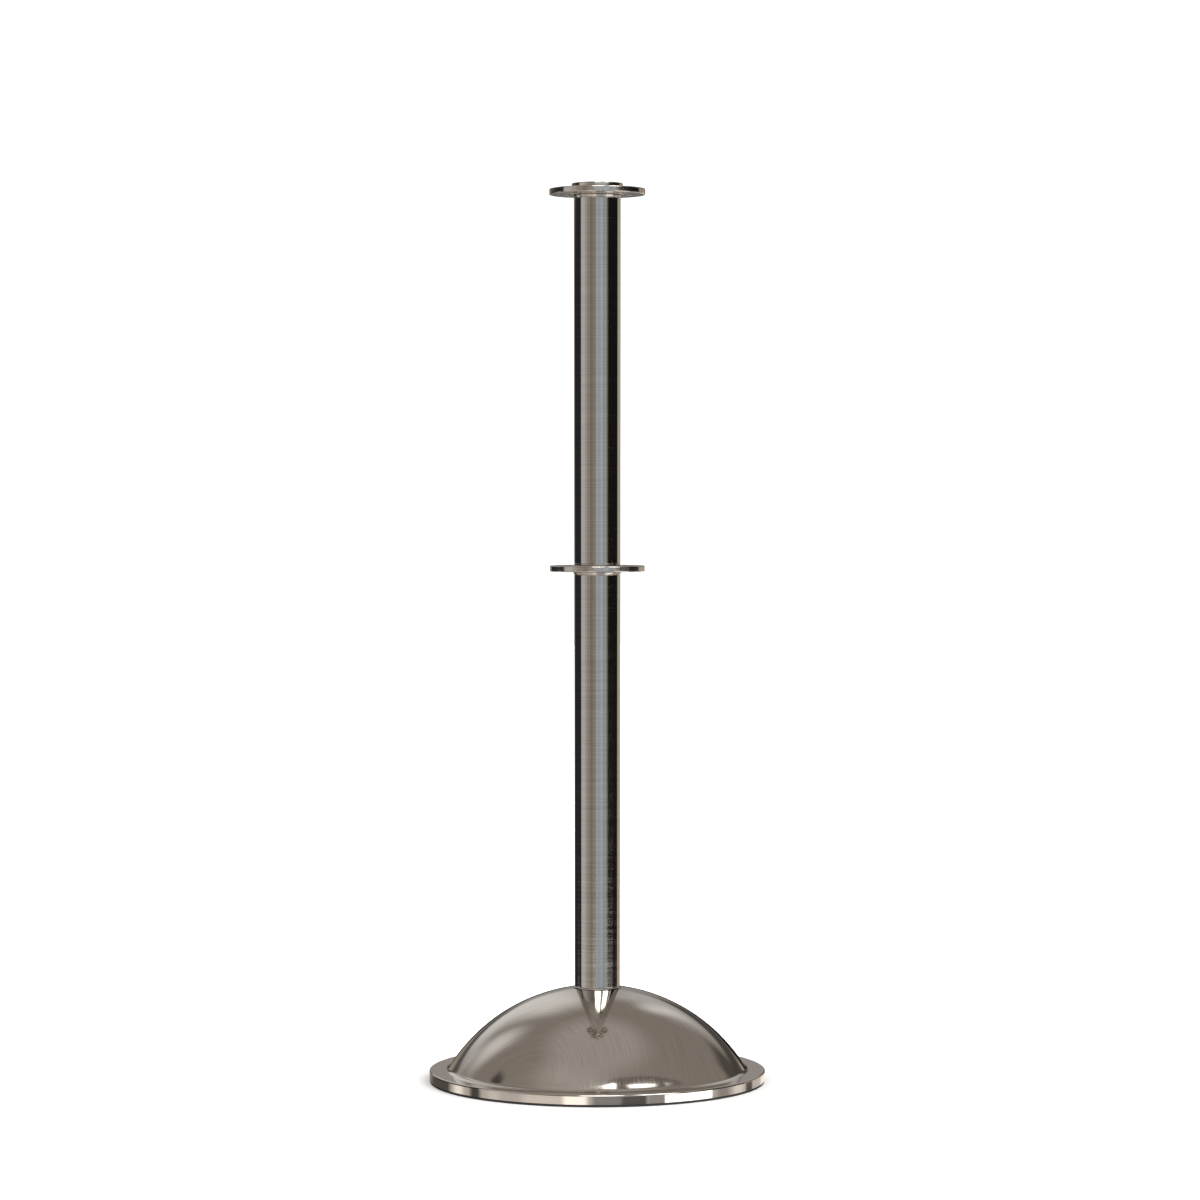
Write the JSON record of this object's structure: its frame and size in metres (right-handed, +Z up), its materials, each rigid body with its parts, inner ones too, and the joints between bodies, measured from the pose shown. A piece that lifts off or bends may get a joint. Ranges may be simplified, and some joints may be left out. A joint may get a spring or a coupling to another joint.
{
  "type": "rope stanchion",
  "caption": "Free-standing rope barrier post: weighted domed base, upright tube, flat cap, and swivelling hook rings at the top and halfway up.",
  "frame": {"origin": "centre of the base, at floor level", "axes": "+Z up along the post's axis; one hook hole of each ring lies on +X at rest"},
  "size_m": [0.376, 0.376, 0.9819],
  "materials": {
    "cover_steel": "satin stainless dome and flange, bright rim",
    "tube_steel": "stainless tube brushed around its axis",
    "ring_steel": "stainless plate, fine turned finish, bright edges",
    "cap_steel": "stainless, fine turned finish",
    "turned_steel": "bright turned stainless",
    "cast_iron": "rough casting, black painted",
    "zinc_steel": "zinc-plated steel",
    "rubber": "matt black rubber",
    "nylon": "natural nylon"
  },
  "bodies": {
    "post": {"floor_ring": "rubber", "base_weight": "cast_iron", "dome_cover": "cover_steel", "base_washer": "zinc_steel", "base_lock_washer": "zinc_steel", "base_nut": "zinc_steel", "anti_turn_pin": "zinc_steel", "tie_rod": "zinc_steel", "foot_plug": "turned_steel", "lower_tube": "tube_steel", "middle_hub": "turned_steel", "middle_ring_lower_glide": "nylon", "middle_ring_upper_glide": "nylon", "upper_tube_plug": "turned_steel", "upper_tube": "tube_steel", "top_hub": "turned_steel", "top_ring_lower_glide": "nylon", "top_ring_upper_glide": "nylon", "top_cap": "cap_steel"},
    "middle_ring": {"middle_ring": "ring_steel"},
    "top_ring": {"top_ring": "ring_steel"}
  },
  "joints": [
    {"name": "middle_ring_turn", "type": "hinge", "parent": "post", "child": "middle_ring", "pos_m": [0, 0, 0.56942], "axis": [0, 0, 1], "continuous": true},
    {"name": "top_ring_turn", "type": "hinge", "parent": "post", "child": "top_ring", "pos_m": [0, 0, 0.97291], "axis": [0, 0, 1], "continuous": true}
  ]
}
